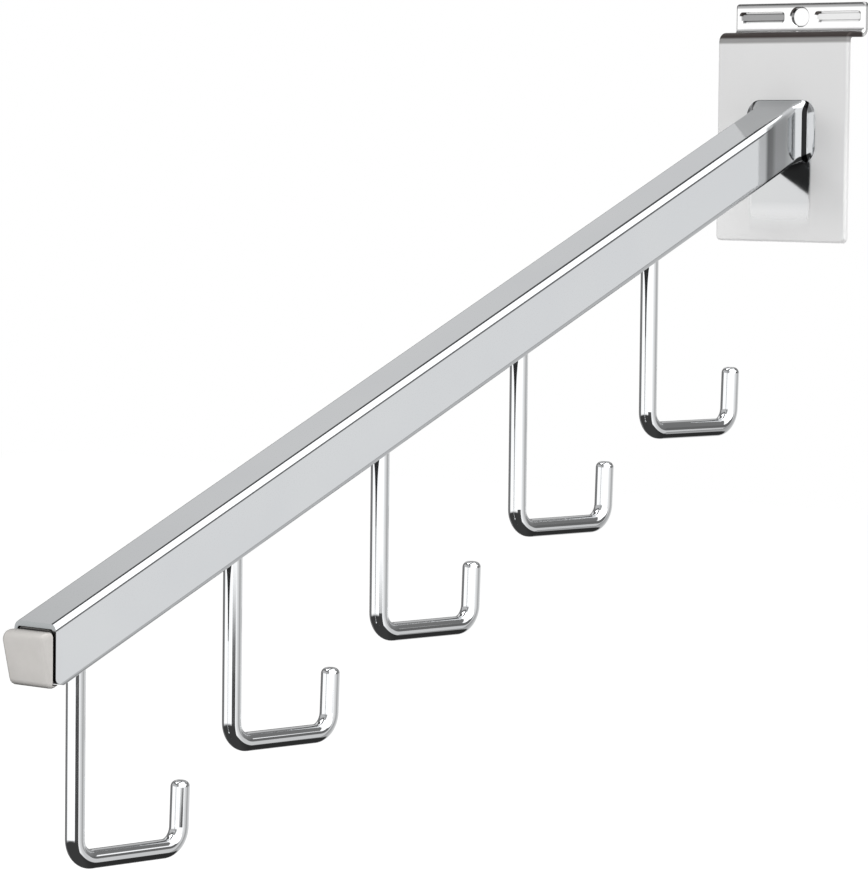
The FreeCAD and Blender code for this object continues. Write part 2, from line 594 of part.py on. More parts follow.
def make_hook(number):
    body = body_named("hook_%d" % number)
    path = sketch_on(body, "YZ_Plane", "wire_path_%d" % number)
    wire_path(path)
    section = sketch_on(body, "XY_Plane", "wire_section_%d" % number, lift="Sizes.hook_wire")
    round_hole(section, "Sizes.hook_wire")
    wire = body.newObject("PartDesign::AdditivePipe", "wire_%d" % number)
    wire.Profile = section
    wire.Spine = path
    doc.recompute()

    wire_radius = value_of("Sizes.hook_wire") / 2
    tip_height = value_of("Sizes.hook_tip - Sizes.hook_drop")
    reach = value_of("Sizes.hook_reach")

    def free_end(edge):
        middle = edge.BoundBox.Center
        near = middle.distanceToPoint(Vector(0, reach, tip_height)) < wire_radius / 4
        return isinstance(edge.Curve, Part.Circle) and near

    soften(body, "Fillet", "free_end_%d" % number, "Sizes.hook_end_round", free_end)

    # The weld's sections lie parallel to the tube's underside and shrink into the wire
    weld = body.newObject("PartDesign::AdditiveLoft", "shank_weld_%d" % number)
    sections = []
    for name, share_out, share_down in SHANK_WELD:
        ring = sketch_on(
            body,
            "XY_Plane",
            "shank_weld_%s_%d" % (name, number),
            lift="%g * Sizes.hook_bead_depth" % -share_down,
            tilt="Sizes.arm_slope",
        )
        round_hole(ring, "(Sizes.hook_wire / cos(Sizes.arm_slope) + 2 * %g * Sizes.hook_bead)" % share_out)
        sections.append(ring)
    weld.Profile = sections[0]
    weld.Sections = sections[1:]
    body.Tip = weld
    doc.recompute()

    # The shank's top is cut to the tube's sloping underside
    trim = sketch_on(body, "YZ_Plane", "shank_trim_%d" % number)
    half = 2 * value_of("Sizes.hook_wire")
    rise = math.tan(math.radians(value_of("Sizes.arm_slope"))) * half
    top = half + rise
    corners = [Vector(-half, -rise, 0), Vector(half, rise, 0), Vector(half, top, 0), Vector(-half, top, 0)]
    for side in range(4):
        trim.addGeometry(Part.LineSegment(corners[side], corners[(side + 1) % 4]))
    for side in range(4):
        join(trim, "Coincident", side, (side + 1) % 4)
    trim.addConstraint(Sketcher.Constraint("Symmetric", 0, 1, 0, 2, -1, 1))
    trim.addConstraint(Sketcher.Constraint("Vertical", 1))
    trim.addConstraint(Sketcher.Constraint("Horizontal", 2))
    trim.addConstraint(Sketcher.Constraint("Vertical", 3))
    dimension(trim, "width", "DistanceX", 0, 1, 0, 2, size="4 * Sizes.hook_wire")
    dimension(trim, "slope", "Angle", 0, size="Sizes.arm_slope")
    dimension(trim, "top", "DistanceY", 1, 1, 1, 2, size="2 * Sizes.hook_wire")
    cut(body, trim, "shank_end_%d" % number)

    # Down the arm's axis to this hook, then square across half the tube to its underside
    along = "(Sizes.arm_length - Sizes.hook_margin - %d * Sizes.hook_pitch)" % (number - 1)
    axis_y = "-Sizes.sheet_thickness - %s * cos(Sizes.arm_slope)" % along
    axis_z = "Sizes.arm_rise - %s * sin(Sizes.arm_slope)" % along
    body.setExpression("Placement.Base.y", axis_y + " + Sizes.arm_size / 2 * sin(Sizes.arm_slope)")
    body.setExpression("Placement.Base.z", axis_z + " - Sizes.arm_size / 2 * cos(Sizes.arm_slope)")
    return body


# Build, check and write one file for each piece

pieces = [make_bracket(), make_arm(), make_cap()]
pieces += [make_hook(number) for number in range(1, HOOKS + 1)]
doc.recompute()

faults = [item.Name for item in doc.Objects if {"Invalid", "Error"} & set(item.State)]
faults += [piece.Label for piece in pieces if piece.Shape.isNull() or not piece.Shape.isValid()]
faults += [piece.Label for piece in pieces if len(piece.Shape.Solids) != 1]
if faults:
    raise RuntimeError("not built: " + ", ".join(faults))

os.makedirs("parts", exist_ok=True)
for piece in pieces:
    piece.Shape.exportStep(os.path.join("parts", piece.Label + ".step"))
    print("%s: %.1f mm3" % (piece.Label, piece.Shape.Volume))
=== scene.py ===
import math

import bpy
from mathutils import Matrix, Vector


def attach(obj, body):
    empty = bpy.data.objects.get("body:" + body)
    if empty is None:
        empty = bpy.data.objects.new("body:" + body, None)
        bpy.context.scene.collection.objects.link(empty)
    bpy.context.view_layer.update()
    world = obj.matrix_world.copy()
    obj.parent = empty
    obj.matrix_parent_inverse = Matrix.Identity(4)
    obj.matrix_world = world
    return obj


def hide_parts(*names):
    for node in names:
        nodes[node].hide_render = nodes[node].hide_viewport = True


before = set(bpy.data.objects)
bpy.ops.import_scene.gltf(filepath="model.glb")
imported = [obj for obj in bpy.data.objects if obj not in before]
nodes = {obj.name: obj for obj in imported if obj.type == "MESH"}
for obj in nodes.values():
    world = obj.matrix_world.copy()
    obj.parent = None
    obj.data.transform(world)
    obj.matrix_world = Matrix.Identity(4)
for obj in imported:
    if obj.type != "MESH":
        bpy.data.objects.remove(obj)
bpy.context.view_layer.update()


# Camera: at the photograph's viewing angle, well back from the arm with a long lens, level with the bracket
# and turned 44 degrees to the right of square on to the wall.
CAMERA_PLACE = (1.09333, -1.32447, -0.00983)
CAMERA_AZIMUTH, CAMERA_ELEVATION, CAMERA_ROLL = (math.radians(angle) for angle in (43.849, 3.440, 0.636))
SENSOR_WIDTH, FOCAL_LENGTH = 36, 189.68

forward = Vector((-math.sin(CAMERA_AZIMUTH), math.cos(CAMERA_AZIMUTH), -math.tan(CAMERA_ELEVATION))).normalized()
level_right = Vector((math.cos(CAMERA_AZIMUTH), math.sin(CAMERA_AZIMUTH), 0))
level_up = level_right.cross(forward)
right = level_right * math.cos(CAMERA_ROLL) + level_up * math.sin(CAMERA_ROLL)
up = level_up * math.cos(CAMERA_ROLL) - level_right * math.sin(CAMERA_ROLL)
turned = Matrix((right, up, -forward)).transposed().to_4x4()

lens = bpy.data.cameras.new("camera")
lens.sensor_width = SENSOR_WIDTH
lens.lens = FOCAL_LENGTH
lens.clip_start = 0.05
lens.clip_end = 50
camera = bpy.data.objects.new("camera", lens)
camera.matrix_world = Matrix.Translation(CAMERA_PLACE) @ turned
bpy.context.scene.collection.objects.link(camera)
bpy.context.scene.camera = camera


# Studio: a pale room with white panels and dark gaps, as a table top for small bright goods has. Polished metal
# shows nothing but this room, so the room is painted by direction, in degrees from the wall's own direction
# toward the right and up from level. All else gets an even white light and a softbox from above.
LIGHT_LEVEL, ROOM_GREY = 0.62, 0.33
PANELS = (
    # what it is, middle and half width round the room, lowest and highest edge, softness, brightness
    ("dark_side_gap", -84, 42, -90, 50, 8, 0.2),
    ("low_front_wall", -4, 40, -90, 1, 5, 0.75),
    ("right_low_wall", 66, 28, -90, 4, 2, 1.16),
    ("right_window", 92, 52, 5, 90, 3, 2.2),
    ("dark_rail_on_the_right", 50, 13, 2.5, 21, 2, 0.25),
    ("white_wall_behind", 120, 33, -90, 60, 6, 1.3),
    ("dark_stand_behind", 112, 21, -90, -5.6, 1.5, 0.08),
    ("white_wall_on_the_left", -166, 41, -90, 9, 6, 1.22),
    ("grey_wall_on_the_left", -140, 36, 9, 36, 5, 0.55),
    ("dark_top_of_the_left_wall", -130, 40, 36, 54, 3, 0.2),
    ("left_sheet_for_the_arm", -45, 24, 22, 44, 16, 0.9),
    ("ceiling", 0, 360, 53, 100, 2, 2.2),
    ("dark_rim_over_that_sheet", -59, 34, 42, 70, 3, 0.12),
    ("dark_table_below", 0, 360, -100, -31, 4, 0.05),
    ("dark_apron_before_the_table", 180, 85, -100, -13, 6, 0.05),
)
SOFTBOX_SIZE, SOFTBOX_POWER, SOFTBOX_PLACE = 1.6, 26, (0.1, -0.3, 1.5)
FLOOR_SIZE, FLOOR_PLACE, FLOOR_GLOW = 12, (0, -1, -0.62), 0.43
WHITE = (1, 1, 1, 1)


def add_node(tree, kind, inputs=(), **settings):
    """Add a node with its settings, and set or link its inputs by number or name."""
    made = tree.nodes.new(kind)
    for name, value in settings.items():
        setattr(made, name, value)
    for key, value in dict(inputs).items():
        if isinstance(value, bpy.types.NodeSocket):
            tree.links.new(value, made.inputs[key])
        else:
            made.inputs[key].default_value = value
    return made


def linear(code):
    """The linear colour of an sRGB hex code."""
    parts = [int(code[place:place + 2], 16) / 255 for place in (1, 3, 5)]
    return tuple(part / 12.92 if part <= 0.04045 else ((part + 0.055) / 1.055) ** 2.4 for part in parts) + (1,)


def empty_material(name):
    """A new material and its empty node tree."""
    material = bpy.data.materials.new(name)
    material.use_nodes = True
    material.node_tree.nodes.clear()
    return material, material.node_tree


def paint_panel(tree, around, rise, under, middle, half_width, lowest, highest, softness, level):
    """Paint a soft-edged panel over the brightness that the room has so far."""
    off = add_node(tree, "ShaderNodeMath", {0: around, 1: middle}, operation="SUBTRACT").outputs[0]
    off = add_node(tree, "ShaderNodeMath", {0: off, 1: 180, 2: -180}, operation="WRAP").outputs[0]
    off = add_node(tree, "ShaderNodeMath", {0: off}, operation="ABSOLUTE").outputs[0]
    across = add_node(tree, "ShaderNodeMapRange",
                      {0: off, 1: half_width + softness / 2, 2: half_width - softness / 2, 3: 0, 4: 1},
                      interpolation_type="SMOOTHSTEP").outputs[0]
    off = add_node(tree, "ShaderNodeMath", {0: rise, 1: (lowest + highest) / 2}, operation="SUBTRACT").outputs[0]
    off = add_node(tree, "ShaderNodeMath", {0: off}, operation="ABSOLUTE").outputs[0]
    half_height = (highest - lowest) / 2
    inside = add_node(tree, "ShaderNodeMapRange",
                      {0: off, 1: half_height + softness / 2, 2: half_height - softness / 2, 3: 0, 4: across},
                      interpolation_type="SMOOTHSTEP").outputs[0]
    return add_node(tree, "ShaderNodeMix", {0: inside, 2: under, 3: level}, data_type="FLOAT").outputs[0]


world = bpy.data.worlds.new("studio")
bpy.context.scene.world = world
world.use_nodes = True
sky = world.node_tree
sky.nodes.clear()
direction = add_node(sky, "ShaderNodeTexCoord").outputs["Generated"]
axes = add_node(sky, "ShaderNodeSeparateXYZ", {0: direction})
around = add_node(sky, "ShaderNodeMath", {0: axes.outputs["X"], 1: axes.outputs["Y"]}, operation="ARCTAN2")
around = add_node(sky, "ShaderNodeMath", {0: around.outputs[0]}, operation="DEGREES").outputs[0]
rise = add_node(sky, "ShaderNodeMath", {0: axes.outputs["Z"]}, operation="ARCSINE")
rise = add_node(sky, "ShaderNodeMath", {0: rise.outputs[0]}, operation="DEGREES").outputs[0]
room = ROOM_GREY
for _, *panel in PANELS:
    room = paint_panel(sky, around, rise, room, *panel)
seen_in_metal = add_node(sky, "ShaderNodeBackground", {0: WHITE, 1: room}).outputs[0]
plain_light = add_node(sky, "ShaderNodeBackground", {0: WHITE, 1: LIGHT_LEVEL}).outputs[0]
white_backdrop = add_node(sky, "ShaderNodeBackground", {0: WHITE, 1: 1.0}).outputs[0]
path = add_node(sky, "ShaderNodeLightPath").outputs
lit = add_node(sky, "ShaderNodeMixShader", {0: path["Is Glossy Ray"], 1: plain_light, 2: seen_in_metal}).outputs[0]
shown = add_node(sky, "ShaderNodeMixShader", {0: path["Is Camera Ray"], 1: lit, 2: white_backdrop}).outputs[0]
add_node(sky, "ShaderNodeOutputWorld", {0: shown})

softbox = bpy.data.lights.new("softbox", "AREA")
softbox.shape = "SQUARE"
softbox.size = SOFTBOX_SIZE
softbox.energy = SOFTBOX_POWER
overhead = bpy.data.objects.new("softbox", softbox)
overhead.location = SOFTBOX_PLACE
overhead.visible_glossy = False
bpy.context.scene.collection.objects.link(overhead)

bpy.ops.mesh.primitive_plane_add(size=FLOOR_SIZE, location=FLOOR_PLACE)
floor = bpy.context.object
floor.name = "floor"
floor.visible_glossy = False
# Matt white board: its glow makes up what the light leaves short of white, so it runs into the backdrop
floor_paint, tree = empty_material("pale_floor")
matt = add_node(tree, "ShaderNodeBsdfDiffuse", {0: linear("#F7F7F7")}).outputs[0]
glow = add_node(tree, "ShaderNodeEmission", {0: WHITE, 1: FLOOR_GLOW}).outputs[0]
painted = add_node(tree, "ShaderNodeAddShader", {0: matt, 1: glow}).outputs[0]
add_node(tree, "ShaderNodeOutputMaterial", {0: painted})
floor.data.materials.append(floor_paint)


# Slatwall bracket: one piece of cold-rolled steel sheet, pressed and folded back at the top into a lip that hooks
# behind the slat. It is welded to the arm and chromed with it. The plate was linished before plating, so it is
# satin all over but for the buffed front round the arm's root. All these places are in millimetres.
BUFFED_SIDE, BUFFED_TOP, BUFFED_FOOT = (13.5, 15.0), (10, 14), (-24, -36)
FRONT_SKIN = (-1.6, -1.2)
# Where the painted light on the satin's lower half starts and ends, in millimetres
PAINTED_LIGHT_TOP, PAINTED_LIGHT_FOOT = 10, -15
LIP_REAR, RECESS_FLOOR, LIP_TOP = (6.5, 7.5), (8.3, 8.8), (48.0, 48.6)
FOLD_START, FOLD_TOP = (34.5, 35.3), (36.4, 37.2)


def dress(node, material):
    node.data.materials.clear()
    node.data.materials.append(material)


def in_millimetres(tree, scale=(1, 1, 1)):
    """The node's own coordinates in millimetres, stretched by a scale."""
    place = add_node(tree, "ShaderNodeTexCoord").outputs["Object"]
    return add_node(tree, "ShaderNodeMapping", {0: place, 3: [1000 * part for part in scale]}).outputs[0]


# Bright chrome over linished sheet: it gives the eye a pale, even, slightly blurred face, and a mirror where buffed
chrome_sheet, tree = empty_material("chromed_sheet")
even = in_millimetres(tree)
place = add_node(tree, "ShaderNodeSeparateXYZ", {0: even}).outputs
# Cloudy plating: the bath leaves patches a few centimetres wide that are a shade brighter or duller
cloud = add_node(tree, "ShaderNodeTexNoise", {"Vector": even, "Scale": 0.035, "Detail": 2}).outputs[0]
mirror = add_node(tree, "ShaderNodeMix", {0: cloud, 6: linear("#C2C3C5"), 7: linear("#C7C8C8")},
                  data_type="RGBA").outputs[2]
# Linishing lines up and down the plate, under 1 micron deep, which blur what it reflects
lines = in_millimetres(tree, (3, 3, 0.08))
brushed = add_node(tree, "ShaderNodeTexNoise", {"Vector": lines, "Scale": 1.0, "Detail": 3}).outputs[0]
relief = add_node(tree, "ShaderNodeBump", {"Height": brushed, "Distance": 0.0000006, "Strength": 1.0}).outputs[0]
# Satin everywhere but round the arm's root on the front, and nearly bright on the lip
out = add_node(tree, "ShaderNodeMath", {0: place["X"]}, operation="ABSOLUTE").outputs[0]
satin = add_node(tree, "ShaderNodeMapRange", {0: out, 1: BUFFED_SIDE[0], 2: BUFFED_SIDE[1], 3: 0, 4: 1}).outputs[0]
for axis, (start, end) in (("Z", BUFFED_TOP), ("Z", BUFFED_FOOT), ("Y", FRONT_SKIN)):
    satin = add_node(tree, "ShaderNodeMapRange", {0: place[axis], 1: start, 2: end, 3: satin, 4: 1}).outputs[0]
lip = add_node(tree, "ShaderNodeMapRange", {0: place["Y"], 1: LIP_REAR[0], 2: LIP_REAR[1], 3: 0, 4: 1}).outputs[0]
satin = add_node(tree, "ShaderNodeMix", {0: lip, 2: satin, 3: 0.2}, data_type="FLOAT").outputs[0]
gloss = add_node(tree, "ShaderNodeMapRange", {0: satin, 1: 0, 2: 1, 3: 0.06, 4: 0.42}).outputs[0]
gloss = add_node(tree, "ShaderNodeMath", {0: cloud, 1: 0.05, 2: gloss}, operation="MULTIPLY_ADD").outputs[0]
# Painted light: the satin part is made brighter toward its lower half, against the shade that the arm leaves there
lower = add_node(tree, "ShaderNodeMapRange", {0: place["Z"], 1: PAINTED_LIGHT_TOP, 2: PAINTED_LIGHT_FOOT, 3: 0, 4: 1}).outputs[0]
painted_light_lift = add_node(tree, "ShaderNodeMix", {0: lower, 6: linear("#E6E6E6"), 7: linear("#F3F3F3")},
                 data_type="RGBA").outputs[2]
plate = add_node(tree, "ShaderNodeMix", {0: satin, 6: mirror, 7: painted_light_lift}, data_type="RGBA").outputs[2]
# The lip is the brightest part; its top edge is a darker grey, and its recesses get painted shade, more on one side
bright = add_node(tree, "ShaderNodeMix", {0: lip, 6: plate, 7: linear("#F2F2F2")}, data_type="RGBA").outputs[2]
deep = add_node(tree, "ShaderNodeMapRange",
                {0: place["Y"], 1: RECESS_FLOOR[0], 2: RECESS_FLOOR[1], 3: 0, 4: 1}).outputs[0]
one_side = add_node(tree, "ShaderNodeMapRange", {0: place["X"], 1: -2, 2: 2, 3: 0.8, 4: 0.25}).outputs[0]
recess_shade = add_node(tree, "ShaderNodeMath", {0: deep, 1: one_side}, operation="MULTIPLY").outputs[0]
edge = add_node(tree, "ShaderNodeMapRange", {0: place["Z"], 1: LIP_TOP[0], 2: LIP_TOP[1], 3: recess_shade, 4: 0.7}).outputs[0]
shaded_lip = add_node(tree, "ShaderNodeMix", {0: edge, 6: bright, 7: linear("#6E6E6F")}, data_type="RGBA").outputs[2]
# Painted shade: the fold and the trough behind it are darkened to a brownish near-black
fold_shade = add_node(tree, "ShaderNodeMapRange",
                 {0: place["Z"], 1: FOLD_START[0], 2: FOLD_START[1], 3: 0, 4: 0.6}).outputs[0]
fold_shade = add_node(tree, "ShaderNodeMapRange",
                 {0: place["Z"], 1: FOLD_TOP[0], 2: FOLD_TOP[1], 3: fold_shade, 4: 1}).outputs[0]
fold_shade = add_node(tree, "ShaderNodeMapRange", {0: lip, 1: 0, 2: 1, 3: fold_shade, 4: 0}).outputs[0]
shaded_fold = add_node(tree, "ShaderNodeMix", {0: fold_shade, 6: shaded_lip, 7: linear("#332C2A")}, data_type="RGBA").outputs[2]
# Deep corners reflect only each other
open_air = add_node(tree, "ShaderNodeAmbientOcclusion", {"Distance": 0.005}, samples=8).outputs["AO"]
shade = add_node(tree, "ShaderNodeMapRange", {0: open_air, 1: 0.35, 2: 0.75, 3: 0.12, 4: 1}).outputs[0]
colour = add_node(tree, "ShaderNodeVectorMath", {0: shaded_fold, 3: shade}, operation="SCALE").outputs[0]
plating = add_node(tree, "ShaderNodeMapRange", {0: satin, 1: 0.3, 2: 1, 3: 1, 4: 0.4}).outputs[0]
metal = add_node(tree, "ShaderNodeBsdfPrincipled",
                 {"Base Color": colour, "Metallic": plating, "Roughness": gloss, "Normal": relief}).outputs[0]
add_node(tree, "ShaderNodeOutputMaterial", {0: metal})
dress(nodes["slatwall_bracket"], chrome_sheet)


# Arm: a length of square steel tube, mitred at both ends, polished along its length and chromed. The weld that
# holds it to the plate is ground smooth. The painted shade at its root runs between two places in millimetres,
# and each of its shades is a share of that way and a brightness.
ROOT_START, ROOT_END = -27, -2
ROOT_SHADES = ((0.17, 0.95), (0.24, 0.30), (0.33, 0.35), (0.42, 0.6), (0.62, 0.62), (0.78, 0.95))
TOE_OUT, TOE_HALF_WIDTH = 12.7, 0.75

# Bright chrome on polished tube: it gives the eye a plain mirror, long faces of one tone with lines at the corners
chrome_tube, tree = empty_material("chromed_tube")
even = in_millimetres(tree)
place = add_node(tree, "ShaderNodeSeparateXYZ", {0: even}).outputs
cloud = add_node(tree, "ShaderNodeTexNoise", {"Vector": even, "Scale": 0.03, "Detail": 2}).outputs[0]
tone = add_node(tree, "ShaderNodeMix", {0: cloud, 6: linear("#C0C2C5"), 7: linear("#C8CACB")},
                data_type="RGBA").outputs[2]
gloss = add_node(tree, "ShaderNodeMapRange", {0: cloud, 1: 0.3, 2: 0.7, 3: 0.04, 4: 0.09}).outputs[0]
# The rolled tube is not quite flat: waves of a few microns over some centimetres
waves = add_node(tree, "ShaderNodeTexNoise", {"Vector": even, "Scale": 0.05, "Detail": 1}).outputs[0]
relief = add_node(tree, "ShaderNodeBump", {"Height": waves, "Distance": 0.00002, "Strength": 1.0}).outputs[0]
# The sawn front end took the plating less well and is greyer
normal = add_node(tree, "ShaderNodeNewGeometry").outputs["Normal"]
facing = add_node(tree, "ShaderNodeSeparateXYZ", {0: normal}).outputs
sawn = add_node(tree, "ShaderNodeMapRange", {0: facing["Y"], 1: -0.97, 2: -0.995, 3: 0, 4: 1}).outputs[0]
greyer = add_node(tree, "ShaderNodeMix", {0: sawn, 6: tone, 7: linear("#9FA2A3")}, data_type="RGBA").outputs[2]
open_air = add_node(tree, "ShaderNodeAmbientOcclusion", {"Distance": 0.004}, samples=8).outputs["AO"]
shade = add_node(tree, "ShaderNodeMapRange", {0: open_air, 1: 0.35, 2: 0.75, 3: 0.1, 4: 1}).outputs[0]
# Painted shade: the side's last 20 mm darkens in bands toward the plate, and the toe by the plate is painted black
to_root = add_node(tree, "ShaderNodeMapRange", {0: place["Y"], 1: ROOT_START, 2: ROOT_END, 3: 0, 4: 1}).outputs[0]
near_root = add_node(tree, "ShaderNodeValToRGB", {0: to_root})
ramp = near_root.color_ramp
ramp.elements[0].position, ramp.elements[0].color = 0.0, WHITE
ramp.elements[1].position, ramp.elements[1].color = 1.0, WHITE
for where, level in ROOT_SHADES:
    ramp.elements.new(where).color = (level, level, level, 1)
root_shade = add_node(tree, "ShaderNodeMapRange",
                   {0: facing["X"], 1: 0.6, 2: 0.9, 3: 1, 4: near_root.outputs[0]}).outputs[0]
out = add_node(tree, "ShaderNodeMath", {0: place["X"]}, operation="ABSOLUTE").outputs[0]
at_toe = add_node(tree, "ShaderNodeMath", {0: out, 1: TOE_OUT, 2: TOE_HALF_WIDTH}, operation="COMPARE").outputs[0]
root_and_toe_shade = add_node(tree, "ShaderNodeMapRange", {0: at_toe, 1: 0, 2: 1, 3: root_shade, 4: 0.04}).outputs[0]
dimmed = add_node(tree, "ShaderNodeMath", {0: shade, 1: root_and_toe_shade}, operation="MULTIPLY").outputs[0]
colour = add_node(tree, "ShaderNodeVectorMath", {0: greyer, 3: dimmed}, operation="SCALE").outputs[0]
metal = add_node(tree, "ShaderNodeBsdfPrincipled",
                 {"Base Color": colour, "Metallic": 1.0, "Roughness": gloss, "Normal": relief}).outputs[0]
add_node(tree, "ShaderNodeOutputMaterial", {0: metal})
dress(nodes["arm_tube"], chrome_tube)


# Hooks: five J hooks of bright-drawn round steel wire, each bent twice, welded under the tube and chromed with
# it. Their free ends are rounded off so that loops and hangers slide on.
HOOKS = 5

# Bright chrome on drawn wire: its small radius gives the eye the whole room as stripes along the wire
chrome_wire, tree = empty_material("chromed_wire")
even = in_millimetres(tree)
cloud = add_node(tree, "ShaderNodeTexNoise", {"Vector": even, "Scale": 0.08, "Detail": 2}).outputs[0]
tone = add_node(tree, "ShaderNodeMix", {0: cloud, 6: linear("#E6E8EA"), 7: linear("#EEEFF0")},
                data_type="RGBA").outputs[2]
gloss = add_node(tree, "ShaderNodeMapRange", {0: cloud, 1: 0.3, 2: 0.7, 3: 0.03, 4: 0.07}).outputs[0]
# Painted reflection: both flanks of the wire are darkened, as the dark stripes of the room seen along it
normal = add_node(tree, "ShaderNodeNewGeometry").outputs["Normal"]
facing = add_node(tree, "ShaderNodeSeparateXYZ", {0: normal}).outputs
off_flank = add_node(tree, "ShaderNodeMath", {0: facing["Y"]}, operation="ABSOLUTE").outputs[0]
painted_flank_shade = add_node(tree, "ShaderNodeMapRange", {0: off_flank, 1: 0.1, 2: 0.4, 3: 0.58, 4: 1}).outputs[0]
colour = add_node(tree, "ShaderNodeVectorMath", {0: tone, 3: painted_flank_shade}, operation="SCALE").outputs[0]
metal = add_node(tree, "ShaderNodeBsdfPrincipled",
                 {"Base Color": colour, "Metallic": 1.0, "Roughness": gloss}).outputs[0]
add_node(tree, "ShaderNodeOutputMaterial", {0: metal})
for number in range(1, HOOKS + 1):
    dress(nodes["hook_%d" % number], chrome_wire)


# End cap: a plug moulded in satin light-grey plastic and pushed into the tube's open end. Its head stands upright
# before the mitred end on a narrower collar, with a rounded brow and a chin that reaches under the tube, and a
# hollow ribbed body behind grips inside the tube. Its sizes are in metres, and the tube's end is its Y and Z.
ARM_SLOPE = math.radians(25)
TUBE_END = (-0.3677, -0.16853)
HEAD_WIDTH, HEAD_REAR, HEAD_TOP, HEAD_FOOT = 0.0198, -0.3689, -0.1600, -0.1790
HEAD_TOP_FRONT, HEAD_FOOT_FRONT = -0.3744, -0.3700
HEEL_REAR, HEEL_TOP, HEAD_SPARE = -0.3655, -0.1769, 0.0060
HEAD_BROW, HEAD_CHIN, HEAD_SIDE = 0.0042, 0.0032, 0.0018
COLLAR_WIDTH, COLLAR_TOP, COLLAR_FOOT, COLLAR_CORNER = 0.0160, -0.1614, -0.1754, 0.0020
PLUG_SIZE, PLUG_LENGTH, PLUG_WALL, PLUG_CORNER = 0.0164, 0.0130, 0.0016, 0.0020
RIB_SIZE, RIB_WIDTH, RIB_PITCH, RIBS = 0.0168, 0.0010, 0.0035, 3
# How far the collar goes into the head and the body past the tube's end, and how near a picked corner lies
OVERLAP, END_CUT, NEAR = 0.0005, 0.0002, 0.0010
# Where the shade in the groove starts behind the head and above the heel, in millimetres
GROOVE_FRONT, GROOVE_FOOT = (-368.95, -368.8), (-176.8, -176.2)


def box(name, width, rear, front, foot, top):
    """A closed box between the given faces, its mesh in place and its object at the origin."""
    bpy.ops.object.select_all(action="DESELECT")
    middle = (0, (rear + front) / 2, (foot + top) / 2)
    bpy.ops.mesh.primitive_cube_add(size=1, location=middle, scale=(width, rear - front, top - foot))
    bpy.ops.object.transform_apply(location=True, rotation=True, scale=True)
    bpy.context.object.name = name
    return bpy.context.object


def edit(piece, kind, wanted):
    """Go into edit mode on a piece with the vertices, edges or faces selected whose corners pass a test."""
    bpy.ops.object.select_all(action="DESELECT")
    piece.select_set(True)
    bpy.context.view_layer.objects.active = piece
    bpy.ops.object.mode_set(mode="EDIT")
    bpy.ops.mesh.select_mode(type={"vertices": "VERT", "edges": "EDGE", "polygons": "FACE"}[kind])
    bpy.ops.mesh.select_all(action="DESELECT")
    bpy.ops.object.mode_set(mode="OBJECT")
    points = [vertex.co for vertex in piece.data.vertices]
    for element in getattr(piece.data, kind):
        corners = [element.index] if kind == "vertices" else element.vertices
        element.select = wanted([points[corner] for corner in corners])
    bpy.ops.object.mode_set(mode="EDIT")


def round_edges(piece, wanted, size, steps):
    """Round the edges of a piece whose two ends pass a test."""
    edit(piece, "edges", wanted)
    bpy.ops.mesh.bevel(offset=size, segments=steps, affect="EDGES")
    bpy.ops.object.mode_set(mode="OBJECT")


def apply_modifier(piece, kind, **settings):
    """Add a modifier to a piece and apply it."""
    bpy.ops.object.select_all(action="DESELECT")
    piece.select_set(True)
    bpy.context.view_layer.objects.active = piece
    modifier = piece.modifiers.new(kind.lower(), kind)
    for name, value in settings.items():
        setattr(modifier, name, value)
    bpy.ops.object.modifier_apply(modifier=modifier.name)


def face_outward(piece):
    edit(piece, "polygons", lambda at: True)
    bpy.ops.mesh.normals_make_consistent(inside=False)
    bpy.ops.object.mode_set(mode="OBJECT")


def combine(piece, other, operation):
    """Add another closed solid to a piece, or cut it away."""
    face_outward(piece)
    face_outward(other)
    apply_modifier(piece, "BOOLEAN", operation=operation, solver="EXACT", object=other)
    bpy.data.objects.remove(other)


# The head's side first: its front leans, and its underside rises to the rear with the tube's
head_rear = HEEL_REAR + HEAD_SPARE
head = box("plug_head", HEAD_WIDTH, head_rear, HEAD_TOP_FRONT, HEAD_FOOT, HEAD_TOP)
edit(head, "vertices", lambda at: at[0].y < HEAD_REAR and at[0].z < HEAD_FOOT + NEAR)
bpy.ops.transform.translate(value=(0, HEAD_FOOT_FRONT - HEAD_TOP_FRONT, 0))
bpy.ops.object.mode_set(mode="OBJECT")
edit(head, "vertices", lambda at: at[0].y > HEEL_REAR and at[0].z < HEAD_FOOT + NEAR)
bpy.ops.transform.translate(value=(0, 0, (head_rear - HEAD_FOOT_FRONT) * math.tan(ARM_SLOPE)))
bpy.ops.object.mode_set(mode="OBJECT")

# Then it is rounded, most at its brow, less at its chin and least round both sides, and cut off at the rear
for height, size, steps in ((HEAD_TOP, HEAD_BROW, 8), (HEAD_FOOT, HEAD_CHIN, 5)):
    round_edges(head, lambda at: abs(at[0].x - at[1].x) > HEAD_WIDTH / 2 and all(
        corner.y < HEAD_REAR + NEAR and height - NEAR < corner.z < height + 2 * NEAR for corner in at), size, steps)
apply_modifier(head, "BEVEL", width=HEAD_SIDE, segments=6, limit_method="ANGLE", angle_limit=math.radians(50))
above_head, below_head = 2 * HEAD_TOP - HEAD_FOOT, 2 * HEAD_FOOT - HEAD_TOP
behind_heel = box("behind_heel", 2 * HEAD_WIDTH, HEEL_REAR + 2 * HEAD_SPARE, HEEL_REAR, below_head, above_head)
combine(head, behind_heel, "DIFFERENCE")
room_for_tube = box("room_for_tube", 2 * HEAD_WIDTH, head_rear, HEAD_REAR, HEEL_TOP, above_head)
combine(head, room_for_tube, "DIFFERENCE")

collar = box("plug_collar", COLLAR_WIDTH, TUBE_END[0], HEAD_REAR - OVERLAP, COLLAR_FOOT, COLLAR_TOP)
round_edges(collar, lambda at: abs(at[0].y - at[1].y) > NEAR, COLLAR_CORNER, 5)
combine(head, collar, "UNION")

